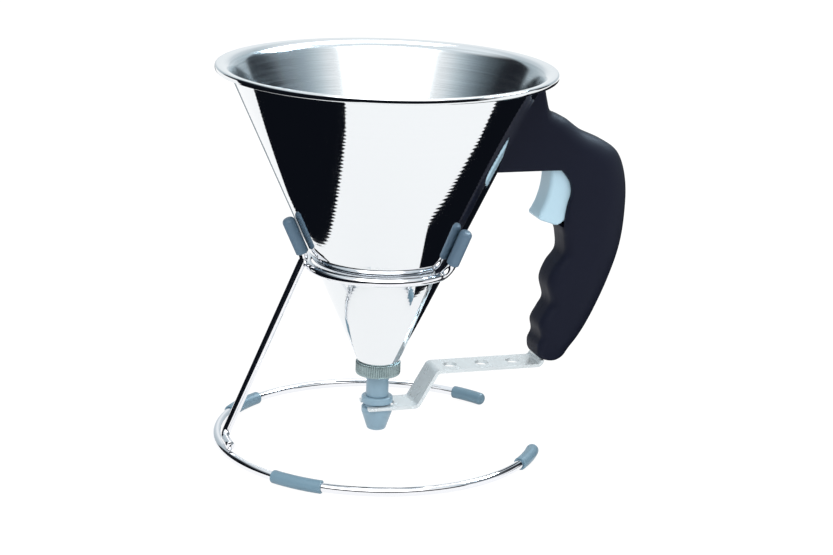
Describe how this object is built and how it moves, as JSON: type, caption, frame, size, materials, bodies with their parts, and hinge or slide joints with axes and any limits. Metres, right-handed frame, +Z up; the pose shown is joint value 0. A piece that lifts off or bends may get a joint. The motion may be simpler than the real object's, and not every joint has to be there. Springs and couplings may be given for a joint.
{
  "type": "hand-held batter dispenser on a wire stand",
  "caption": "Polished steel funnel with a pistol-grip handle, a trigger-worked dosing valve and a three-point chromed wire stand, for portioning batter.",
  "frame": {"origin": "on the funnel's axis, in the plane that the stand's rubber sleeves and caps rest on", "axes": "+Z up along the funnel's axis, +X from the funnel towards the handle, +Y to the back"},
  "size_m": [0.1905, 0.15, 0.1728],
  "materials": {
    "funnel_steel": "spun and polished outside, fine turned lines inside",
    "strip_steel": "bright satin strip",
    "wire_chrome": "bright plated wire",
    "nut_metal": "fine knurl",
    "fastener_steel": "zinc plated",
    "handle_plastic": "satin moulded, fine grain",
    "trigger_plastic": "smooth moulded",
    "valve_plastic": "smooth moulded",
    "inner_plastic": "moulded",
    "rubber": "satin sleeve",
    "seal_rubber": "matte"
  },
  "bodies": {
    "stand": {"base_ring": "wire_chrome", "stand_leg": "wire_chrome", "cradle_ring": "wire_chrome", "leg_pad": "rubber", "front_pad": "rubber", "rear_pad": "rubber", "front_foot_sleeve": "rubber", "rear_foot_sleeve": "rubber", "front_end_cap": "rubber", "rear_end_cap": "rubber"},
    "dispenser": {"funnel_cone": "funnel_steel", "funnel_spout": "funnel_steel", "spout_seal": "rubber", "valve_tube": "valve_plastic", "valve_needle": "valve_plastic", "handle_bracket": "strip_steel", "handle_shell_left": "handle_plastic", "handle_shell_right": "handle_plastic", "handle_screws": "fastener_steel", "trigger_pin": "fastener_steel", "bar_guide": "inner_plastic", "return_spring": "fastener_steel"},
    "nut": {"valve_nut": "nut_metal"},
    "drive": {"nozzle": "valve_plastic", "nozzle_ring": "seal_rubber", "lift_arm": "strip_steel", "push_bar": "inner_plastic", "arm_screw": "fastener_steel"},
    "trigger": {"trigger": "trigger_plastic"}
  },
  "joints": [
    {"name": "lift_off", "type": "slide", "parent": "stand", "child": "dispenser", "axis": [0, 0, 1], "range_m": [0, 0.12]},
    {"name": "trigger_pull", "type": "hinge", "parent": "dispenser", "child": "trigger", "pos_m": [0.07704, 0, 0.136], "axis": [0, -1, 0], "range_deg": [0, 12]},
    {"name": "valve_slide", "type": "slide", "parent": "dispenser", "child": "drive", "axis": [0, 0, -1], "range_m": [0, 0.004], "stiffness_N_per_m": 800, "springref_m": -0.006, "deforming": ["return_spring"]},
    {"name": "nut_turn", "type": "hinge", "parent": "dispenser", "child": "nut", "pos_m": [0, 0, 0.035], "axis": [0, 0, 1], "range_deg": [0, 360]}
  ],
  "couplings": [
    {"joint": "trigger_pull", "follows": "valve_slide", "rad_per_m": 52.359}
  ]
}
